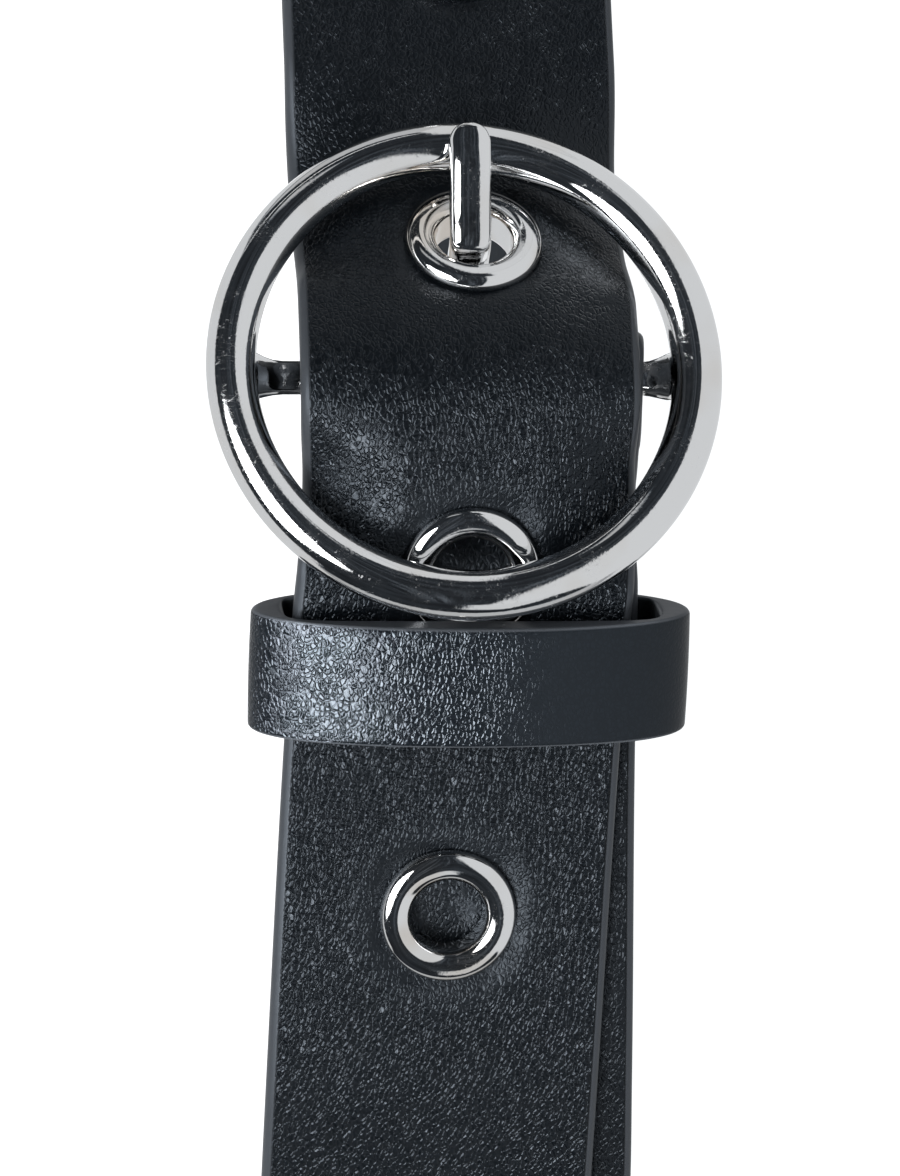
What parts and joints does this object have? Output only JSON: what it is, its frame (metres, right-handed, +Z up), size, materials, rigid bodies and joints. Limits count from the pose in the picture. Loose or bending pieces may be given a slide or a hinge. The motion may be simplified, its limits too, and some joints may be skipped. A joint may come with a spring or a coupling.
{
  "type": "buckled eyelet belt",
  "caption": "Leather belt buckled into a loop and standing on its edge, with a round centre-bar buckle and prong, metal eyelets and an oval leather keeper band",
  "frame": {"origin": "middle of the belt's box in plan, at the floor it stands on", "axes": "+Z up, along the strap's width; the buckle faces -Y; the free end runs from the buckle towards +X and on round the loop"},
  "size_m": [0.2984, 0.305, 0.053],
  "materials": {
    "leather": "black grained leather, satin, with rounded grey-edged rims",
    "polished_metal": "polished nickel or chrome plate"
  },
  "bodies": {
    "root": {"strap": "leather", "keeper": "leather", "buckle_frame": "polished_metal", "prong": "polished_metal", "fold_rivet": "polished_metal", "eyelet_1": "polished_metal", "eyelet_2": "polished_metal", "eyelet_3": "polished_metal", "eyelet_4": "polished_metal", "eyelet_5": "polished_metal"}
  },
  "joints": []
}
